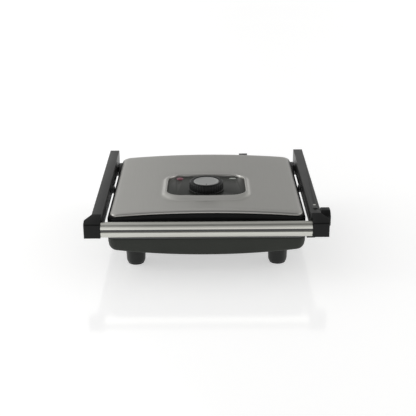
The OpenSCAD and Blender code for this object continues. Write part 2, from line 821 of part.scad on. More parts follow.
module knob_cap() {
  top = panel_top + knob_h;
  color("#b9bab8") difference() {
    translate([0, knob_y, 0]) rotate_extrude($fn = 96) polygon([
      [0, top - 2.95], [cap_r, top - 2.95], [cap_r, top - 0.8], [cap_r - 0.8, top], [0, top]
    ]);
    translate([0, knob_y - cap_r + pointer_inset, top - 0.6])
      cube([pointer_w + 0.2, pointer_len + 0.2, 2], center = true);
  }
}

module knob_pointer() {
  top = panel_top + knob_h;
  color(black) translate([0, knob_y - cap_r + pointer_inset, top - 0.75])
    cube([pointer_w, pointer_len, 1.3], center = true);
}

// ---------------------------------------------------------------- lock

module lock_slider() {
  color(black) {
    side_profile(lock_in, lock_out, [
      [lock_front + 3, slider_low_z], [lock_rear - 2, slider_low_z], [lock_rear, slider_low_z + 2],
      [lock_rear, arm_front_z - 1], [lock_rear - 2, arm_front_z + 1], [lock_front + 9, arm_front_z + 1],
      [lock_front, arm_front_z - 6], [lock_front, slider_low_z + 3]
    ]);
    block(hook_x + hook_t + joint_gap / 3, lock_in + 1, lock_front + 3, lock_rear - 3,
          tongue_z, tongue_z + tongue_h);
  }
}

// Hook on the slider's tongue: it drops through the arm and in to the base's catch
module lock_hook() {
  color(black) {
    block(hook_x, hook_x + hook_t, hook_front, hook_rear, lock_low_z - 1, tongue_z + tongue_h);
    block(base_w / 2 + 1.2, hook_x + hook_t + 2, hook_front, hook_rear, lock_low_z - 2, lock_low_z);
    block(base_w / 2 + 1.2, arm_in - 1.5, hook_front, hook_front + 4,
          lock_low_z - 0.5, lock_low_z + hook_tooth_h);
  }
}

base_shell();
base_rim();
lower_grill_plate();
lower_heating_element();
lower_heat_shield();
front_left_foot();
front_right_foot();
rear_left_foot();
rear_right_foot();
foot_pads();
foot_screws();
left_hinge_bracket();
right_hinge_bracket();
left_hinge_pin();
right_hinge_pin();
bracket_screws();
cord_gland();
terminal_block();
lock_catch();
lower_conduit_gland();
conduit_lower();
left_arm();
right_arm();
handle_bar();
handle_core();
handle_strip();
left_end_cap();
right_end_cap();
left_pivot_pin();
right_pivot_pin();
cap_screws();
lock_guide_screw();
lock_mark();
upper_housing();
lid_cover();
control_panel();
power_lamp();
ready_lamp();
lamp_board();
thermostat();
upper_grill_plate();
upper_heating_element();
upper_heat_shield();
left_pivot_boss();
right_pivot_boss();
upper_conduit_gland();
conduit_upper();
lid_screws();
knob_body();
knob_cap();
knob_pointer();
thermostat_shaft();
lock_slider();
lock_hook();
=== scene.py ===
import json
import math

import bmesh
import bpy
from mathutils import Euler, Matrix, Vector
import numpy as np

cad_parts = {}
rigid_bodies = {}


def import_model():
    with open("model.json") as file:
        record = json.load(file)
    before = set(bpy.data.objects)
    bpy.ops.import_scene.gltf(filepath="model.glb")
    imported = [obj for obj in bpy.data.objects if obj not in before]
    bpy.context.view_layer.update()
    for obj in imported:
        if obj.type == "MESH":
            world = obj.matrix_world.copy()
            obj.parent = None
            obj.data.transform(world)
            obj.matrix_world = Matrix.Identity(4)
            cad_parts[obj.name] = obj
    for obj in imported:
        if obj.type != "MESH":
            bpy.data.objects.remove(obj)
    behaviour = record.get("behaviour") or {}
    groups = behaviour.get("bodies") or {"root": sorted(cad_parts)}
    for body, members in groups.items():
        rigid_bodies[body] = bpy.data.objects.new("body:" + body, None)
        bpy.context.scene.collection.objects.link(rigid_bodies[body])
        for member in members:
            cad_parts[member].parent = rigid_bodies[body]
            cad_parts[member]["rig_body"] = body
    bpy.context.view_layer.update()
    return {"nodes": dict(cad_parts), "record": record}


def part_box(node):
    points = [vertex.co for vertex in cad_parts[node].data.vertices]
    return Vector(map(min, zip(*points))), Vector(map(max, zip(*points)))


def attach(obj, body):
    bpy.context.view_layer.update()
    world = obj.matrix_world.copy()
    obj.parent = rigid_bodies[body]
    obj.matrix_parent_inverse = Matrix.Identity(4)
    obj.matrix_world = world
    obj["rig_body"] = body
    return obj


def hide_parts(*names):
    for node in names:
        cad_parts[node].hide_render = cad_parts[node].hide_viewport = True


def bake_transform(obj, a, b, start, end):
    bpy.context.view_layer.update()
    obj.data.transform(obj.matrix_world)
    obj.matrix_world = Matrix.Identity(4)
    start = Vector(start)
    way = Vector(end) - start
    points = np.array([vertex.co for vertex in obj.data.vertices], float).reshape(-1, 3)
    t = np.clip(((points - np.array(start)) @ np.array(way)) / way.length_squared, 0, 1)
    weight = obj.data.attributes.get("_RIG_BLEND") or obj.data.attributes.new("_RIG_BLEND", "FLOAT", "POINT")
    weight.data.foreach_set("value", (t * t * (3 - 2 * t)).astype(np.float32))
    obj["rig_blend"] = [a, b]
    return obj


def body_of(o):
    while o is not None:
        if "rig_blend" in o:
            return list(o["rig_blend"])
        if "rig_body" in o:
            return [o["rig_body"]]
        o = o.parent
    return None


bl_info = {
    "name": "Contact grill",
    "version": (1, 0, 0),
    "blender": (4, 5, 0),
    "location": "View3D > Sidebar > Contact grill",
    "description": "Finished shells, handle, knob and materials for a contact grill",
    "category": "Object",
}

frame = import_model()
MM = 0.001


# ------------------------------------------------------------ sizes and colours


class GrillSizes(bpy.types.PropertyGroup):
    """Sizes of the finished pieces that the frame doesn't give"""

    hem_drop: bpy.props.FloatProperty(
        name="Hem drop", description="How far the cover's edge turns down", default=5.5 * MM, unit="LENGTH"
    )
    bend_width: bpy.props.FloatProperty(
        name="Bend width", description="Width of the soft bend along the cover's edge", default=9 * MM,
        unit="LENGTH"
    )
    lip_rise: bpy.props.FloatProperty(
        name="Lip rise", description="Height of the pressed lip round the panel", default=3.6 * MM,
        unit="LENGTH"
    )
    belly_round: bpy.props.FloatProperty(
        name="Belly round", description="Radius where the base's front meets its underside", default=4 * MM,
        unit="LENGTH"
    )
    end_round: bpy.props.FloatProperty(
        name="End round", description="Radius where the base's ends meet its underside", default=9 * MM,
        unit="LENGTH"
    )
    edge_round: bpy.props.FloatProperty(
        name="Edge round", description="Radius on the edges of moulded pieces", default=0.9 * MM,
        unit="LENGTH"
    )
    groove_depth: bpy.props.FloatProperty(
        name="Groove depth", description="Depth of the groove along the handle", default=2.4 * MM,
        unit="LENGTH"
    )


def colour_property(name, description, value):
    return bpy.props.StringProperty(name=name, description=description, default=value)


class GrillColours(bpy.types.PropertyGroup):
    """Colours as sRGB hex values"""

    steel: colour_property("Steel", "Brushed stainless cover", "#BFBEBA")
    handle: colour_property("Handle steel", "Brushed stainless handle", "#CBCBC4")
    black: colour_property("Black ABS", "Arms, caps and housing", "#0B0C0C")
    charcoal: colour_property("Charcoal", "Base shell", "#292C27")
    panel: colour_property("Panel", "Control panel", "#2F312D")
    lamp: colour_property("Lamp", "Power lamp lens", "#7C2342")
    knob: colour_property("Knob cap", "Anodised aluminium cap", "#BBBCBB")


def sizes():
    return bpy.context.scene.grill_sizes


def colours():
    return bpy.context.scene.grill_colours


# ------------------------------------------------------------ materials


def linear(hexa):
    """An sRGB hex value as linear RGBA"""
    parts = [int(hexa[i : i + 2], 16) / 255 for i in (1, 3, 5)]
    return [p / 12.92 if p <= 0.04045 else ((p + 0.055) / 1.055) ** 2.4 for p in parts] + [1.0]


def add_node(tree, kind, settings=None, inputs=None):
    """Adds one node with its settings, and values or links on its inputs"""
    node = tree.nodes.new(kind)
    for key, value in (settings or {}).items():
        setattr(node, key, value)
    for key, value in (inputs or {}).items():
        socket = node.inputs[key]
        if isinstance(value, bpy.types.NodeSocket):
            tree.links.new(value, socket)
        else:
            socket.default_value = value
    return node


def new_material(name, **shader):
    """A material with its Principled shader, whose plain inputs are set on the shader itself"""
    material = bpy.data.materials.new(name)
    material.use_nodes = True
    principled = material.node_tree.nodes["Principled BSDF"]
    for key, value in shader.items():
        principled.inputs[key.replace("_", " ")].default_value = value
    return material, material.node_tree, principled


def object_place(tree, scale=(1, 1, 1)):
    """Object coordinates in metres, stretched by scale"""
    place = add_node(tree, "ShaderNodeTexCoord")
    mapping = add_node(
        tree, "ShaderNodeMapping", inputs={"Vector": place.outputs["Object"], "Scale": scale}
    )
    return mapping.outputs["Vector"]


def spread(tree, factor, low, high):
    """Turns a 0 to 1 factor into a value between low and high"""
    node = add_node(tree, "ShaderNodeMapRange", inputs={"Value": factor, "To Min": low, "To Max": high})
    return node.outputs["Result"]


def tinted(tree, factor, hexa, low, high):
    """The colour made darker to low and lighter to high by the factor"""
    base = linear(hexa)
    mix = add_node(tree, "ShaderNodeMix", {"data_type": "RGBA"}, {0: factor})
    mix.inputs[6].default_value = [c * low for c in base[:3]] + [1]
    mix.inputs[7].default_value = [min(1, c * high) for c in base[:3]] + [1]
    return mix.outputs[2]


def brushed_metal(name, hexa, along, grain_mm, rough=(0.3, 0.42), depth=0.06, metallic=1.0):
    """Belt-rubbed stainless or aluminium: fine parallel scratches blur reflections across them"""
    material, tree, shader = new_material(name, Metallic=metallic)
    fine = 1 / (grain_mm * MM)
    scale = [fine if axis != along else fine / 60 for axis in range(3)]
    scratch = add_node(
        tree, "ShaderNodeTexNoise",
        inputs={"Vector": object_place(tree, scale), "Scale": 1.0, "Detail": 4.0}
    )
    cloud = add_node(
        tree, "ShaderNodeTexNoise", inputs={"Vector": object_place(tree), "Scale": 9.0, "Detail": 2.0}
    )
    both = add_node(
        tree, "ShaderNodeMath", {"operation": "MULTIPLY_ADD"},
        {0: cloud.outputs["Fac"], 1: 0.25, 2: scratch.outputs["Fac"]}
    )
    tree.links.new(tinted(tree, both.outputs[0], hexa, 0.9, 1.08), shader.inputs["Base Color"])
    tree.links.new(spread(tree, scratch.outputs["Fac"], *rough), shader.inputs["Roughness"])
    bump = add_node(
        tree, "ShaderNodeBump",
        inputs={"Height": scratch.outputs["Fac"], "Strength": depth, "Distance": 0.05 * MM}
    )
    tree.links.new(bump.outputs["Normal"], shader.inputs["Normal"])
    return material


def moulded_plastic(name, hexa, grain_mm, rough, depth=0.15, ior=1.5, level=0.3):
    """Injection-moulded plastic: an even fine grain from the tool and slightly uneven gloss"""
    material, tree, shader = new_material(name, IOR=ior, Specular_IOR_Level=level)
    grain = add_node(
        tree, "ShaderNodeTexNoise",
        inputs={"Vector": object_place(tree), "Scale": 1 / (grain_mm * MM), "Detail": 3.0}
    )
    wear = add_node(
        tree, "ShaderNodeTexNoise", inputs={"Vector": object_place(tree), "Scale": 22.0, "Detail": 4.0}
    )
    tree.links.new(tinted(tree, wear.outputs["Fac"], hexa, 0.82, 1.2), shader.inputs["Base Color"])
    both = add_node(
        tree, "ShaderNodeMath", {"operation": "MULTIPLY_ADD"},
        {0: grain.outputs["Fac"], 1: 0.4, 2: wear.outputs["Fac"]}
    )
    tree.links.new(spread(tree, both.outputs[0], rough - 0.08, rough + 0.06), shader.inputs["Roughness"])
    bump = add_node(
        tree, "ShaderNodeBump",
        inputs={"Height": grain.outputs["Fac"], "Strength": depth, "Distance": grain_mm * 0.3 * MM}
    )
    tree.links.new(bump.outputs["Normal"], shader.inputs["Normal"])
    return material


def nonstick_coating(name):
    """Cast aluminium with a sprayed non-stick coat: dark, satin, with pale specks in it"""
    material, tree, shader = new_material(name, IOR=1.4, Metallic=0.1)
    speck = add_node(
        tree, "ShaderNodeTexVoronoi", inputs={"Vector": object_place(tree), "Scale": 1 / (1.6 * MM)}
    )
    mask = add_node(
        tree, "ShaderNodeMapRange",
        inputs={"Value": speck.outputs["Distance"], "From Min": 0.12, "From Max": 0.2}
    )
    mix = add_node(tree, "ShaderNodeMix", {"data_type": "RGBA"}, {0: mask.outputs["Result"]})
    mix.inputs[6].default_value = linear("#6A6B6C")
    mix.inputs[7].default_value = linear("#242526")
    tree.links.new(mix.outputs[2], shader.inputs["Base Color"])
    cast = add_node(
        tree, "ShaderNodeTexNoise", inputs={"Vector": object_place(tree), "Scale": 900.0, "Detail": 3.0}
    )
    tree.links.new(spread(tree, cast.outputs["Fac"], 0.32, 0.5), shader.inputs["Roughness"])
    bump = add_node(
        tree, "ShaderNodeBump",
        inputs={"Height": cast.outputs["Fac"], "Strength": 0.25, "Distance": 0.1 * MM}
    )
    tree.links.new(bump.outputs["Normal"], shader.inputs["Normal"])
    return material


def lamp_lens(name, hexa, glow):
    """Clear tinted polycarbonate lens: glossy, deep colour, with faint prism rings on its inner side"""
    material, tree, shader = new_material(name, IOR=1.58, Coat_Weight=0.6, Coat_Roughness=0.05)
    shader.inputs["Emission Strength"].default_value = glow
    shader.inputs["Emission Color"].default_value = linear(hexa)
    prism = add_node(
        tree, "ShaderNodeTexNoise", inputs={"Vector": object_place(tree), "Scale": 700.0, "Detail": 1.0}
    )
    tree.links.new(tinted(tree, prism.outputs["Fac"], hexa, 0.7, 1.15), shader.inputs["Base Color"])
    tree.links.new(spread(tree, prism.outputs["Fac"], 0.08, 0.2), shader.inputs["Roughness"])
    return material


def make_materials():
    """Every finish, by the record's slot where it has one"""
    c = colours()
    return {
        # Belt-brushed stainless sheet: soft grey, scratches run front to back
        "cover_steel": brushed_metal("brushed_stainless_cover", c.steel, 1, 0.5, (0.29, 0.39), 0.05),
        # Brushed stainless tube: brighter, scratches run along the handle
        "handle_steel": brushed_metal("brushed_stainless_handle", c.handle, 0, 0.45, (0.24, 0.36), 0.05),
        # Turned and anodised aluminium disc: pale, finely lined
        "knob_silver": brushed_metal("anodised_aluminium_cap", c.knob, 0, 0.6, (0.3, 0.46), 0.12, 0.9),
        # Bright zinc on steel fasteners and pressings
        "zinc_plate": brushed_metal("zinc_plated_steel", "#B7BAB9", 2, 0.8, (0.3, 0.5), 0.1),
        # Heater sheath that heat has turned brown-grey
        "heater_tube": brushed_metal("oxidised_heater_sheath", "#6E655C", 0, 1.5, (0.4, 0.6), 0.2, 0.8),
        # Spark-textured black ABS of the arms: its grain lifts the tops to a dark grey
        "black_moulding": moulded_plastic("black_abs_textured", c.black, 0.7, 0.42, 0.2, 1.5, 1.0),
        # The same ABS from a smoother tool, for caps, lock, housing and knob: close to full black
        "black_smooth": moulded_plastic("black_abs_smooth", c.black, 0.5, 0.36, 0.08, 1.5, 0.24),
        # Charcoal polypropylene of the base, a touch green and satin
        "charcoal_shell": moulded_plastic("charcoal_pp_satin", c.charcoal, 0.9, 0.5, 0.12),
        # Smooth black phenolic feet
        "foot_moulding": moulded_plastic("black_phenolic_feet", "#1C1E1C", 1.2, 0.38, 0.08),
        # Satin ABS panel insert, dark grey
        "panel_plastic": moulded_plastic("panel_abs_satin", c.panel, 0.5, 0.36, 0.05),
        # Soft rubber under the feet
        "pad_rubber": moulded_plastic("pad_rubber_matt", "#1A1A1A", 0.8, 0.75, 0.2, 1.52),
        # Silicone sleeve over the wires to the lid
        "conduit_rubber": moulded_plastic("silicone_sleeve", "#202020", 0.6, 0.6, 0.15, 1.42),
        "cast_plate": nonstick_coating("nonstick_cast_aluminium"),
        "lamp_red": lamp_lens("polycarbonate_red", c.lamp, 0.05),
        "lamp_pale": lamp_lens("polycarbonate_clear", "#C4C9C2", 0.0),
        # Glass-fibre board
        "board": moulded_plastic("glass_fibre_board", "#6B5A34", 0.9, 0.5),
        # Steatite terminal block
        "ceramic": moulded_plastic("steatite_ceramic", "#D8D5C8", 0.9, 0.55, 0.1, 1.6),
        # Pad-printed pale dot
        "mark_pale": moulded_plastic("printed_dot_pale", "#C9C9C4", 0.6, 0.5, 0.05),
    }


MATERIALS = {}


def finish_with(piece, slot, finish=None):
    """Gives a piece its finish, or its slot's own"""
    piece.data.materials.clear()
    piece.data.materials.append(MATERIALS[finish or slot])


# ------------------------------------------------------------ modelling tools


def deselect_all():
    if bpy.context.object and bpy.context.object.mode != "OBJECT":
        bpy.ops.object.mode_set(mode="OBJECT")
    bpy.ops.object.select_all(action="DESELECT")


def use_only(piece):
    deselect_all()
    piece.select_set(True)
    bpy.context.view_layer.objects.active = piece


def outline(width, depth, front_r, rear_r, centre=(0, 0), arc=8, along_x=20, along_y=10):
    """Points of a rectangle with round corners, anticlockwise from the right front corner"""
    w, d = width / 2, depth / 2
    corners = [(1, -1, front_r, -90), (1, 1, rear_r, 0), (-1, 1, rear_r, 90), (-1, -1, front_r, 180)]
    points = []
    for i, (sx, sy, r, start) in enumerate(corners):
        for k in range(arc + 1):
            a = math.radians(start + 90 * k / arc)
            points.append((sx * (w - r) + r * math.cos(a), sy * (d - r) + r * math.sin(a)))
        nx, ny, nr, nstart = corners[(i + 1) % 4]
        a = math.radians(nstart)
        ahead = (nx * (w - nr) + nr * math.cos(a), ny * (d - nr) + nr * math.sin(a))
        steps = along_y if i % 2 == 0 else along_x
        last = points[-1]
        for k in range(1, steps):
            t = k / steps
            points.append((last[0] + (ahead[0] - last[0]) * t, last[1] + (ahead[1] - last[1]) * t))
    return [(x + centre[0], y + centre[1]) for x, y in points]


def lifted(points, height):
    """Plan points raised to a height, which is a number or a function of x and y"""
    return [(x, y, height(x, y) if callable(height) else height) for x, y in points]


def loft(name, rings, close_start=True, close_end=True, angle=35):
    """Draws the first ring from a circle, then extrudes its edge from ring to ring and fills the ends"""
    deselect_all()
    count = len(rings[0])
    bpy.ops.mesh.primitive_circle_add(vertices=count, radius=0.1, fill_type="NOTHING", location=(0, 0, 0))
    piece = bpy.context.object
    piece.name = name
    bpy.ops.object.mode_set(mode="EDIT")
    mesh = bmesh.from_edit_mesh(piece.data)
    mesh.verts.ensure_lookup_table()
    order = list(mesh.verts)
    for vert, place in zip(order, rings[0]):
        vert.co = place
    if close_start:
        bpy.ops.mesh.select_all(action="SELECT")
        bpy.ops.mesh.edge_face_add()
    for ring in rings[1:]:
        mesh = bmesh.from_edit_mesh(piece.data)
        mesh.verts.ensure_lookup_table()
        indices = [v.index for v in order]
        for face in mesh.faces:
            face.select = False
        for edge in mesh.edges:
            edge.select = False
        chosen = set(indices)
        for i in indices:
            mesh.verts[i].select = True
        for edge in mesh.edges:
            edge.select = edge.verts[0].index in chosen and edge.verts[1].index in chosen
        bmesh.update_edit_mesh(piece.data)
        bpy.ops.mesh.extrude_edges_indiv()
        mesh = bmesh.from_edit_mesh(piece.data)
        mesh.verts.ensure_lookup_table()
        following = []
        for i in indices:
            vert = mesh.verts[i]
            new = [e.other_vert(vert) for e in vert.link_edges if e.other_vert(vert).select]
            following.append(new[0])
        for vert, place in zip(following, ring):
            vert.co = place
        order = following
        mesh.verts.index_update()
        bmesh.update_edit_mesh(piece.data)
    if close_end:
        mesh = bmesh.from_edit_mesh(piece.data)
        for edge in mesh.edges:
            edge.select = edge.verts[0].select and edge.verts[1].select
        bpy.ops.mesh.edge_face_add()
    bpy.ops.mesh.select_all(action="SELECT")
    bpy.ops.mesh.normals_make_consistent(inside=False)
    bpy.ops.object.mode_set(mode="OBJECT")
    bpy.ops.object.shade_smooth_by_angle(angle=math.radians(angle))
    return piece


def turned(name, profile, centre, steps=72, angle=35):
    """A closed turning about a vertical axis from radius and height pairs"""
    rings = []
    for radius, height in profile:
        ring = []
        for k in range(steps):
            a = 2 * math.pi * k / steps
            ring.append((centre[0] + radius * math.cos(a), centre[1] + radius * math.sin(a), height))
        rings.append(ring)
    return loft(name, rings, angle=angle)


def softened(node, width=None, segments=2):
    """A copy of a CAD node whose sharp edges are rounded as a mould rounds them"""
    width = sizes().edge_round if width is None else width
    source = frame["nodes"][node]
    body = body_of(source)[0]
    deselect_all()
    piece = bpy.data.objects.new(node + "_finished", source.data.copy())
    bpy.context.scene.collection.objects.link(piece)
    use_only(piece)
    bpy.ops.object.mode_set(mode="EDIT")
    bpy.ops.mesh.select_all(action="SELECT")
    bpy.ops.mesh.remove_doubles(threshold=0.00001)
    bpy.ops.mesh.dissolve_limited(angle_limit=math.radians(1))
    bpy.ops.object.mode_set(mode="OBJECT")
    bevel = piece.modifiers.new("edges", "BEVEL")
    bevel.width = width
    bevel.segments = segments
    bevel.limit_method = "ANGLE"
    bevel.angle_limit = math.radians(28)
    bevel.use_clamp_overlap = True
    bevel.harden_normals = False
    bpy.ops.object.modifier_apply(modifier=bevel.name)
    bpy.ops.object.shade_smooth_by_angle(angle=math.radians(32))
    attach(piece, body)
    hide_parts(node)
    return piece


def crown(x):
    """Height of the cover's top at x"""
    low, high = COVER
    half = (high.x - low.x) / 2
    rise = CROWN_RISE
    radius = (half * half + rise * rise) / (2 * rise)
    return CROWN_Z - (radius - math.sqrt(max(0, radius * radius - x * x)))


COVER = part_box("lid_cover")
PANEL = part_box("control_panel")
CROWN_Z = COVER[1].z - 2.5 * MM
CROWN_RISE = 6.5 * MM
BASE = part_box("base_shell")
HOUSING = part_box("upper_housing")
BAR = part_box("handle_bar")


# ------------------------------------------------------------ pieces


class GRILL_OT_materials(bpy.types.Operator):
    """Make the finishes and put them on the CAD nodes"""

    bl_idname = "grill.materials"
    bl_label = "Finishes"

    def execute(self, context):
        MATERIALS.update(make_materials())
        slots = {row["node"]: row["material_slot"] for row in frame["record"]["subparts"]}
        for name, node in frame["nodes"].items():
            node.data.materials.clear()
            node.data.materials.append(MATERIALS[slots[name]])
        return {"FINISHED"}


class GRILL_OT_cover(bpy.types.Operator):
    """Press the steel cover: crowned sheet, soft bend, rolled hem and a lip round the panel"""

    bl_idname = "grill.cover"
    bl_label = "Steel cover"

    def execute(self, context):
        s = sizes()
        low, high = COVER
        width, depth = high.x - low.x, high.y - low.y
        centre = ((low.x + high.x) / 2, (low.y + high.y) / 2)
        panel_w, panel_d = PANEL[1].x - PANEL[0].x, PANEL[1].y - PANEL[0].y
        panel_c = ((PANEL[0].x + PANEL[1].x) / 2, (PANEL[0].y + PANEL[1].y) / 2)
        front_r, rear_r, panel_r = 10 * MM, 10 * MM, 24 * MM

        def above(rise):
            return lambda x, y: crown(x) + rise

        # Lip: distance out from the panel's edge at the sides and at the front,
        # and height as a share of its rise
        lip = [
            (0.3, 0.3, -1.3), (0.3, 0.3, 0.2), (0.7, 0.8, 0.66), (1.5, 2.0, 0.92), (2.6, 4.0, 1.0),
            (3.9, 7.0, 0.92), (5.2, 10.0, 0.66), (6.2, 12.6, 0.28), (7.2, 14.6, -0.02), (8.8, 17.4, -0.16),
            (12.0, 22.0, 0.0),
        ]

        def round_panel(out, ahead):
            r = panel_r + out * MM
            shifted = (panel_c[0], panel_c[1] + (out - ahead) / 2 * MM)
            return outline(panel_w + 2 * out * MM, panel_d + (out + ahead) * MM, r, r, shifted)

        rings = []
        for out, ahead, rise in lip:
            share = min(1, out / lip[-1][0])
            ring = []
            for x, y in round_panel(out, ahead):
                front = min(1, max(0, (PANEL[1].y - y) / panel_d))
                local = rise * (0.35 + 0.65 * front) if rise > 0 else rise
                ring.append((x, y, (1 - share) * CROWN_Z + share * crown(x) + local * s.lip_rise))
            rings.append(ring)
        start = round_panel(*lip[-1][:2])
        inset = s.bend_width
        end = outline(width - 2 * inset, depth - 2 * inset, front_r, rear_r, centre)
        for k in range(1, 8):
            t = k / 8
            points = [(a[0] + (b[0] - a[0]) * t, a[1] + (b[1] - a[1]) * t) for a, b in zip(start, end)]
            rings.append(lifted(points, above(0)))
        rings.append(lifted(end, above(0)))
        # Bend: share of the bend's width that is left, and share of the drop
        bend = [
            (0.75, 0.03), (0.5, 0.1), (0.28, 0.22), (0.12, 0.4), (0.03, 0.62), (0.0, 0.8), (0.0, 0.93),
            (0.06, 1.0)
        ]
        for left, drop in bend:
            points = outline(
                width - 2 * inset * left, depth - 2 * inset * left, front_r + 2 * MM, rear_r + 2 * MM,
                centre
            )
            rings.append(lifted(points, above(-s.hem_drop * drop)))
        for left, drop in [(0.1, 0.97), (0.12, 0.7)]:
            points = outline(width - 2 * inset * left, depth - 2 * inset * left, front_r, rear_r, centre)
            rings.append(lifted(points, above(-s.hem_drop * drop)))
        cover = loft("steel_cover", rings, close_start=False, close_end=False, angle=50)
        use_only(cover)
        wall = cover.modifiers.new("sheet", "SOLIDIFY")
        wall.thickness = 0.6 * MM
        wall.offset = -1
        bpy.ops.object.modifier_apply(modifier=wall.name)
        bpy.ops.object.shade_smooth_by_angle(angle=math.radians(50))
        finish_with(cover, "cover_steel")
        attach(cover, "lid")
        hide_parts("lid_cover")
        return {"FINISHED"}


class GRILL_OT_housing(bpy.types.Operator):
    """Mould the black upper housing with a shouldered rim beside the cover"""

    bl_idname = "grill.housing"
    bl_label = "Upper housing"

    def execute(self, context):
        low, high = HOUSING
        width, depth = high.x - low.x, high.y - low.y
        centre = ((low.x + high.x) / 2, (low.y + high.y) / 2)
        plate_low, plate_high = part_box("upper_grill_plate")
        plate_w, plate_d = plate_high.x - plate_low.x, plate_high.y - plate_low.y
        front_r, rear_r = 14 * MM, 14 * MM
        hem = sizes().hem_drop

        def ring(inset, height):
            r = max(2 * MM, front_r - inset), max(2 * MM, rear_r - inset)
            return lifted(outline(width - 2 * inset, depth - 2 * inset, *r, centre), height)

        def pocket(height, grow=0.3 * MM):
            return lifted(outline(plate_w + grow, plate_d + grow, 12 * MM, 12 * MM), height)

        rings = [
            pocket(plate_high.z + 0.2 * MM),
            pocket(low.z + 0.4 * MM),
            pocket(low.z, 1.1 * MM),
            ring(2.4 * MM, low.z),
            ring(1.2 * MM, low.z + 0.5 * MM),
            ring(0.5 * MM, low.z + 1.8 * MM),
            ring(0.1 * MM, low.z + 8 * MM),
            ring(0, lambda x, y: crown(x) - hem - 7 * MM),
            ring(0, lambda x, y: crown(x) - hem - 4.4 * MM),
            ring(0.35 * MM, lambda x, y: crown(x) - hem - 3.6 * MM),
            ring(1.0 * MM, lambda x, y: crown(x) - hem - 3.1 * MM),
            ring(1.6 * MM, lambda x, y: crown(x) - hem - 2.8 * MM),
            ring(2.1 * MM, lambda x, y: crown(x) - hem - 1.2 * MM),
            ring(3.0 * MM, lambda x, y: crown(x) - hem - 0.5 * MM),
            ring(8 * MM, lambda x, y: crown(x) - hem - 0.4 * MM),
            ring(8.4 * MM, lambda x, y: crown(x) - 3.2 * MM),
        ]
        housing = loft("upper_housing_shell", rings, angle=40)
        finish_with(housing, "black_moulding", "black_smooth")
        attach(housing, "lid")
        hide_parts("upper_housing")
        return {"FINISHED"}


class GRILL_OT_base(bpy.types.Operator):
    """Mould the charcoal base with its arched, well rounded underside"""

    bl_idname = "grill.base"
    bl_label = "Base shell"

    def execute(self, context):
        low, high = BASE
        width, depth = high.x - low.x, high.y - low.y
        half, rise = width / 2, 10 * MM
        radius = (half * half + rise * rise) / (2 * rise)

        def belly(x):
            return low.z + radius - math.sqrt(radius * radius - x * x)

        front_round, end_round = sizes().belly_round, sizes().end_round
        front_r, rear_r = 14 * MM, 16 * MM

        def ring(inset, height, inset_x=None):
            inset_x = inset if inset_x is None else inset_x
            r = max(4 * MM, front_r - inset_x), max(4 * MM, rear_r - inset_x)
            return lifted(outline(width - 2 * inset_x, depth - 2 * inset, *r), height)

        def round_at(x):
            return front_round + (end_round - front_round) * min(1, abs(x) / half) ** 8

        rings = [
            ring(6 * MM, high.z), ring(0.8 * MM, high.z), ring(0.2 * MM, high.z - 0.3 * MM),
            ring(0, high.z - 1 * MM)
        ]
        rings.append(ring(0.3 * MM, high.z - 8 * MM))
        for k in range(9):
            a = math.radians(90 * k / 8)
            inset, inset_x = (0.8 * MM + r * (1 - math.cos(a)) for r in (front_round, end_round))
            up = 1 - math.sin(a)
            rings.append(ring(inset, lambda x, y, up=up: belly(x) + round_at(x) * up, inset_x))
        edge = outline(width - 30 * MM, depth - 14 * MM, 8 * MM, 12 * MM)
        for share in (0.8, 0.55, 0.3, 0.08):
            rings.append([(x * share, y * share, belly(x * share)) for x, y in edge])
        shell = loft("base_shell_moulding", rings, angle=40)
        finish_with(shell, "charcoal_shell")
        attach(shell, "base")
        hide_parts("base_shell")
        return {"FINISHED"}


class GRILL_OT_feet(bpy.types.Operator):
    """Turn the four tapered feet and their rubber pads"""

    bl_idname = "grill.feet"
    bl_label = "Feet"

    def execute(self, context):
        for name in ("front_left_foot", "front_right_foot", "rear_left_foot", "rear_right_foot"):
            low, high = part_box(name)
            centre = ((low.x + high.x) / 2, (low.y + high.y) / 2)
            r = (high.x - low.x) / 2
            profile = [
                (r - 6 * MM, low.z + 0.6 * MM), (r - 3.6 * MM, low.z + 0.1 * MM),
                (r - 2.3 * MM, low.z + 0.7 * MM),
                (r - 1.4 * MM, low.z + 2.2 * MM), (r - 0.9 * MM, low.z + 6 * MM),
                (r - 0.4 * MM, low.z + 18 * MM),
                (r - 0.1 * MM, low.z + 27 * MM), (r - 0.1 * MM, high.z - 1 * MM), (r - 1 * MM, high.z),
            ]
            foot = turned(name + "_finished", profile, centre, 56)
            finish_with(foot, "foot_moulding")
            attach(foot, "base")
            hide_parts(name)
        low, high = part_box("foot_pads")
        r = (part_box("front_left_foot")[1].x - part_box("front_left_foot")[0].x) / 2 - 3 * MM
        pads = []
        for sx in (-1, 1):
            for sy in (-1, 1):
                centre = (sx * (high.x - r), sy * (high.y - r))
                profile = [
                    (3 * MM, 0.5 * MM), (3.6 * MM, 0), (r - 1 * MM, 0), (r - 0.3 * MM, 0.3 * MM),
                    (r, 1 * MM),
                    (r, high.z - 0.2 * MM), (r - 0.4 * MM, high.z),
                ]
                pads.append(turned("pad", profile, centre, 48))
        deselect_all()
        for pad in pads:
            pad.select_set(True)
        bpy.context.view_layer.objects.active = pads[0]
        bpy.ops.object.join()
        pads[0].name = "rubber_foot_pads"
        finish_with(pads[0], "pad_rubber")
        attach(pads[0], "base")
        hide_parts("foot_pads")
        return {"FINISHED"}


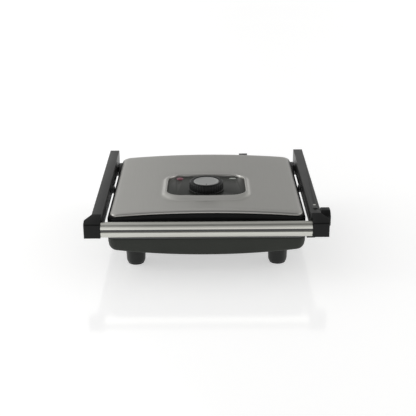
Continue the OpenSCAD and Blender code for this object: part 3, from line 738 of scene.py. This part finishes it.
class GRILL_OT_handle(bpy.types.Operator):
    """Draw the handle's steel tube with its long groove, placed and sized by the strip that lies in the
    groove
    """

    bl_idname = "grill.handle"
    bl_label = "Handle bar"

    def execute(self, context):
        low, high = BAR
        strip_low, strip_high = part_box("handle_strip")
        groove_z = (strip_low.z + strip_high.z) / 2
        half_groove = (strip_high.z - strip_low.z) / 2
        cy, cz = (low.y + high.y) / 2, (low.z + high.z) / 2
        a, b = (high.y - low.y) / 2, (high.z - low.z) / 2
        power = 2.7

        def section(shrink):
            marks = [groove_z + k * half_groove for k in (-1.25, -1.0, 1.0, 1.25)]
            turns = [2 * math.pi * k / 64 for k in range(64)]
            for z in marks:
                share = (z - cz) / b
                turn = math.asin(math.copysign(abs(share) ** (power / 2), share))
                turns = [t for t in turns if abs((t - turn + math.pi) % (2 * math.pi) - math.pi) > 0.03]
                turns.append(turn % (2 * math.pi))
            points = []
            for t in sorted(turns):
                c, s = math.cos(t), math.sin(t)
                y = cy - (a - shrink) * math.copysign(abs(c) ** (2 / power), c)
                z = cz + (b - shrink) * math.copysign(abs(s) ** (2 / power), s)
                if c > 0.5 and abs(z - groove_z) < half_groove * 1.1:
                    y += sizes().groove_depth
                points.append((y, z))
            return points

        stations = [
            (low.x, 0.9 * MM), (low.x + 0.4 * MM, 0.25 * MM), (low.x + 1.4 * MM, 0), (low.x / 2, 0), (0, 0),
            (high.x / 2, 0), (high.x - 1.4 * MM, 0), (high.x - 0.4 * MM, 0.25 * MM), (high.x, 0.9 * MM),
        ]
        rings = [[(x, y, z) for y, z in section(shrink)] for x, shrink in stations]
        bar = loft("handle_tube", rings, angle=30)
        finish_with(bar, "handle_steel")
        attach(bar, "yoke")
        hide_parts("handle_bar")
        return {"FINISHED"}


class GRILL_OT_knob(bpy.types.Operator):
    """Turn the thermostat knob with its ribbed skirt and the anodised cap"""

    bl_idname = "grill.knob"
    bl_label = "Knob"

    def execute(self, context):
        low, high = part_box("knob_body")
        cap_low, cap_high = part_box("knob_cap")
        cx, cy = (low.x + high.x) / 2, (low.y + high.y) / 2
        r, cap_r = (high.x - low.x) / 2, (cap_high.x - cap_low.x) / 2
        ribs, per_rib = 36, 6

        def ring(radius, height, rib):
            points = []
            for k in range(ribs * per_rib):
                a = 2 * math.pi * k / (ribs * per_rib)
                wave = rib * (0.5 - 0.5 * math.cos(ribs * a))
                points.append(
                    (cx + (radius - wave) * math.cos(a), cy + (radius - wave) * math.sin(a), height)
                )
            return points

        top = cap_high.z + 0.4 * MM
        profile = [
            (r - 3 * MM, low.z, 0), (r - 0.6 * MM, low.z, 0), (r, low.z + 0.6 * MM, 0),
            (r - 0.2 * MM, low.z + 1.6 * MM, 0),
            (r - 0.7 * MM, low.z + 2.4 * MM, 0.7 * MM), (r - 1.3 * MM, top - 2.6 * MM, 0.7 * MM),
            (r - 2.0 * MM, top - 1.2 * MM, 0.3 * MM), (r - 3.2 * MM, top - 0.3 * MM, 0),
            (r - 4.6 * MM, top, 0),
            (cap_r + 1.2 * MM, top - 0.1 * MM, 0), (cap_r + 0.3 * MM, top - 0.8 * MM, 0),
            (cap_r + 0.15 * MM, cap_low.z, 0),
        ]
        skirt = loft("knob_skirt", [ring(*row) for row in profile], angle=32)
        finish_with(skirt, "black_moulding", "black_smooth")
        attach(skirt, "knob")
        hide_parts("knob_body")
        z = cap_high.z
        cap_profile = [
            (cap_r, cap_low.z + 0.05 * MM), (cap_r, z - 1.1 * MM), (cap_r - 0.3 * MM, z - 0.5 * MM),
            (cap_r - 1.0 * MM, z - 0.1 * MM),
            (cap_r - 2.0 * MM, z), (cap_r - 2.6 * MM, z - 0.35 * MM), (cap_r - 6 * MM, z - 0.5 * MM),
            (cap_r / 2, z - 0.55 * MM),
            (2 * MM, z - 0.55 * MM),
        ]
        cap = turned("knob_cap_disc", cap_profile, (cx, cy), 96)
        finish_with(cap, "knob_silver")
        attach(cap, "knob")
        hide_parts("knob_cap")
        return {"FINISHED"}


class GRILL_OT_lamps(bpy.types.Operator):
    """Turn the round power lens and press the slim ready lens, both with domed tops"""

    bl_idname = "grill.lamps"
    bl_label = "Lamps"

    def execute(self, context):
        flange = 1.0 * MM
        for node, slot in (("power_lamp", "lamp_red"), ("ready_lamp", "lamp_pale")):
            low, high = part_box(node)
            centre = ((low.x + high.x) / 2, (low.y + high.y) / 2)
            half_x, half_y = (high.x - low.x) / 2 - flange, (high.y - low.y) / 2 - flange
            rim = PANEL[1].z + 0.3 * MM
            rings = []
            for k in range(-1, 7):
                a = math.radians(90 * max(0, k) / 7)
                inset = half_y * (1 - math.cos(a))
                height = low.z if k < 0 else rim + (high.z - rim) * math.sin(a)
                r = (half_y - inset) * 0.98
                rings.append(
                    lifted(
                        outline(2 * (half_x - inset), 2 * (half_y - inset), r, r, centre, 9, 3, 2), height
                    )
                )
            lens = loft(node + "_lens", rings, angle=60)
            finish_with(lens, slot)
            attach(lens, "lid")
            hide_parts(node)
        return {"FINISHED"}


class GRILL_OT_conduit(bpy.types.Operator):
    """Make the ribbed sleeve in two halves that bend with the hinge"""

    bl_idname = "grill.conduit"
    bl_label = "Wire sleeve"

    def execute(self, context):
        halves = (("conduit_lower", "base", "yoke"), ("conduit_upper", "yoke", "lid"))
        for node, first, second in halves:
            low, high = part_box(node)
            centre = ((low.x + high.x) / 2, (low.y + high.y) / 2)
            r = (high.x - low.x) / 2
            ribs = max(4, round((high.z - low.z) / (2.2 * MM)))
            pitch = (high.z - low.z) / ribs
            profile = []
            for k in range(ribs):
                z = low.z + k * pitch
                profile += [
                    (r - 0.7 * MM, z), (r, z + 0.25 * pitch), (r, z + 0.6 * pitch),
                    (r - 0.7 * MM, z + 0.85 * pitch)
                ]
            sleeve = turned(node + "_sleeve", profile, centre, 28)
            finish_with(sleeve, "conduit_rubber")
            start, end = (centre[0], centre[1], low.z), (centre[0], centre[1], high.z)
            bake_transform(sleeve, first, second, start=start, end=end)
            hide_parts(node)
        return {"FINISHED"}


class GRILL_OT_mouldings(bpy.types.Operator):
    """Round the edges of the moulded arms, caps, brackets, glands and panel"""

    bl_idname = "grill.mouldings"
    bl_label = "Moulded pieces"

    def execute(self, context):
        fine = 0.4 * MM
        rounding = {
            "left_arm": 1.1 * MM, "right_arm": 1.1 * MM, "left_end_cap": 1.3 * MM,
            "right_end_cap": 1.3 * MM,
            "lock_slider": 1.4 * MM, "left_hinge_bracket": 0.8 * MM, "right_hinge_bracket": 0.8 * MM,
            "left_pivot_boss": 1.0 * MM, "right_pivot_boss": 1.0 * MM, "lock_catch": fine,
            "lock_hook": 0.3 * MM,
            "lower_conduit_gland": 1.2 * MM, "upper_conduit_gland": 1.2 * MM, "control_panel": fine,
            "base_rim": fine,
            "lower_grill_plate": 0.5 * MM, "upper_grill_plate": 0.5 * MM, "knob_pointer": 0.2 * MM,
            "cord_gland": 0.5 * MM, "lock_guide_screw": fine, "bracket_screws": 0.2 * MM,
        }
        smooth = ("left_end_cap", "right_end_cap", "lock_slider", "lock_hook", "lock_catch")
        slots = {row["node"]: row["material_slot"] for row in frame["record"]["subparts"]}
        for node, width in rounding.items():
            piece = softened(node, width)
            finish_with(piece, slots[node], "black_smooth" if node in smooth else None)
        return {"FINISHED"}


class GRILL_OT_stage(bpy.types.Operator):
    """Lay the pale floor, hang the soft lights and set the camera"""

    bl_idname = "grill.stage"
    bl_label = "Stage"

    def execute(self, context):
        deselect_all()
        scene = context.scene
        scene.view_settings.view_transform = "Standard"
        bpy.ops.mesh.primitive_plane_add(size=12, location=(0, 3, -0.0002))
        floor = context.object
        floor.name = "floor"
        material, tree, shader = new_material(
            "white_sweep_paper", Roughness=0.1, IOR=2.2, Emission_Strength=0.5
        )
        shader.inputs["Emission Color"].default_value = (1, 1, 1, 1)
        paper = add_node(tree, "ShaderNodeTexNoise", inputs={"Vector": object_place(tree), "Scale": 40.0})
        tree.links.new(
            tinted(tree, paper.outputs["Fac"], "#F2F2F2", 0.99, 1.0), shader.inputs["Base Color"]
        )
        floor.data.materials.append(material)
        self.world(scene)
        for name, place, aim, size, power in (
            ("overhead", (-0.5, 0.5, 1.8), (0, 0.1, 0), (2.8, 2.2), 4),
            ("left", (-1.8, -0.1, 0.9), (0, 0, 0.05), (0.8, 1.4), 5),
            ("right", (1.8, -0.1, 0.9), (0, 0, 0.05), (0.8, 1.4), 2),
        ):
            light = bpy.data.lights.new(name, "AREA")
            light.shape = "RECTANGLE"
            light.size, light.size_y = size
            light.energy = power
            lamp = bpy.data.objects.new(name, light)
            lamp.location = place
            lamp.rotation_euler = (Vector(aim) - Vector(place)).to_track_quat("-Z", "Y").to_euler()
            scene.collection.objects.link(lamp)
        aim, distance, rise = Vector((0.0025, -0.17, 0.0815)), 1.4307, 0.0345
        pitch, roll = math.radians(21.05), math.radians(0.4)
        camera = bpy.data.cameras.new("camera")
        camera.sensor_width = 36
        camera.lens = 81
        eye = bpy.data.objects.new("camera", camera)
        ahead = Vector((0, math.cos(pitch), -math.sin(pitch)))
        up = Vector((0, math.sin(pitch), math.cos(pitch)))
        eye.location = aim - ahead * distance + up * rise
        level = Euler((math.pi / 2 - pitch, 0, 0)).to_matrix()
        eye.rotation_euler = (level @ Euler((0, 0, -roll)).to_matrix()).to_euler()
        scene.collection.objects.link(eye)
        scene.camera = eye
        return {"FINISHED"}

    def world(self, scene):
        """A white room that is dimmer overhead, so that steel has something to show"""
        world = bpy.data.worlds.new("studio")
        scene.world = world
        world.use_nodes = True
        tree = world.node_tree
        back = tree.nodes["Background"]
        place = add_node(tree, "ShaderNodeTexCoord")
        split = add_node(tree, "ShaderNodeSeparateXYZ", inputs={0: place.outputs["Generated"]})
        ramp = add_node(tree, "ShaderNodeValToRGB", inputs={"Fac": split.outputs["Z"]})
        ahead = add_node(tree, "ShaderNodeValToRGB", inputs={"Fac": split.outputs["Z"]})
        ahead.color_ramp.elements[0].color = (0.95, 0.95, 0.95, 1)
        ahead.color_ramp.elements[1].color = (0.36, 0.36, 0.36, 1)
        for place, value in ((0.3, 0.85), (0.55, 0.3), (0.88, 0.16)):
            ahead.color_ramp.elements.new(place).color = (value, value, value, 1)
        front = add_node(
            tree, "ShaderNodeMapRange",
            inputs={
                "Value": split.outputs["Y"], "From Min": -0.3, "From Max": -0.02, "To Min": 1.0,
                "To Max": 0.0
            },
        )
        sky = add_node(tree, "ShaderNodeMix", {"data_type": "RGBA"}, {0: front.outputs["Result"]})
        tree.links.new(ramp.outputs["Color"], sky.inputs[6])
        tree.links.new(ahead.outputs["Color"], sky.inputs[7])
        across = add_node(
            tree, "ShaderNodeMapRange",
            inputs={"Value": split.outputs["X"], "From Min": -0.8, "From Max": 0.8}
        )
        side = add_node(tree, "ShaderNodeValToRGB", inputs={"Fac": across.outputs["Result"]})
        side.color_ramp.interpolation = "EASE"
        side.color_ramp.elements[0].color = (1.5, 1.5, 1.5, 1)
        side.color_ramp.elements[1].color = (1.3, 1.3, 1.3, 1)
        for place, value in ((0.28, 1.0), (0.54, 0.66), (0.75, 0.86)):
            side.color_ramp.elements.new(place).color = (value, value, value, 1)
        ramp.color_ramp.elements[0].color = (1, 1, 1, 1)
        ramp.color_ramp.elements[1].color = (0.34, 0.34, 0.34, 1)
        middle = ramp.color_ramp.elements.new(0.35)
        middle.color = (0.64, 0.64, 0.63, 1)
        tree.links.new(sky.outputs[2], back.inputs["Color"])
        tree.links.new(side.outputs["Color"], back.inputs["Strength"])
        white = add_node(tree, "ShaderNodeBackground", inputs={"Color": (1, 1, 1, 1), "Strength": 1.0})
        path = add_node(tree, "ShaderNodeLightPath")
        mix = add_node(tree, "ShaderNodeMixShader", inputs={0: path.outputs["Is Camera Ray"]})
        tree.links.new(back.outputs[0], mix.inputs[1])
        tree.links.new(white.outputs[0], mix.inputs[2])
        tree.links.new(mix.outputs[0], tree.nodes["World Output"].inputs["Surface"])


OPERATORS = (
    GRILL_OT_stage, GRILL_OT_materials, GRILL_OT_cover, GRILL_OT_housing, GRILL_OT_base, GRILL_OT_feet,
    GRILL_OT_handle, GRILL_OT_knob, GRILL_OT_lamps, GRILL_OT_conduit, GRILL_OT_mouldings,
)


class GRILL_PT_panel(bpy.types.Panel):
    """Lists the grill's sizes, colours and pieces"""

    bl_label = "Contact grill"
    bl_idname = "GRILL_PT_panel"
    bl_space_type = "VIEW_3D"
    bl_region_type = "UI"
    bl_category = "Contact grill"

    def draw(self, context):
        for group in (context.scene.grill_sizes, context.scene.grill_colours):
            for key in group.__annotations__:
                self.layout.prop(group, key)
        for operator in OPERATORS:
            self.layout.operator(operator.bl_idname)


CLASSES = (GrillSizes, GrillColours, *OPERATORS, GRILL_PT_panel)


def register():
    for cls in CLASSES:
        bpy.utils.register_class(cls)
    bpy.types.Scene.grill_sizes = bpy.props.PointerProperty(type=GrillSizes)
    bpy.types.Scene.grill_colours = bpy.props.PointerProperty(type=GrillColours)


def unregister():
    del bpy.types.Scene.grill_sizes
    del bpy.types.Scene.grill_colours
    for cls in reversed(CLASSES):
        bpy.utils.unregister_class(cls)


def main():
    register()
    for operator in OPERATORS:
        group, name = operator.bl_idname.split(".")
        getattr(getattr(bpy.ops, group), name)()


if __name__ == "__main__":
    main()
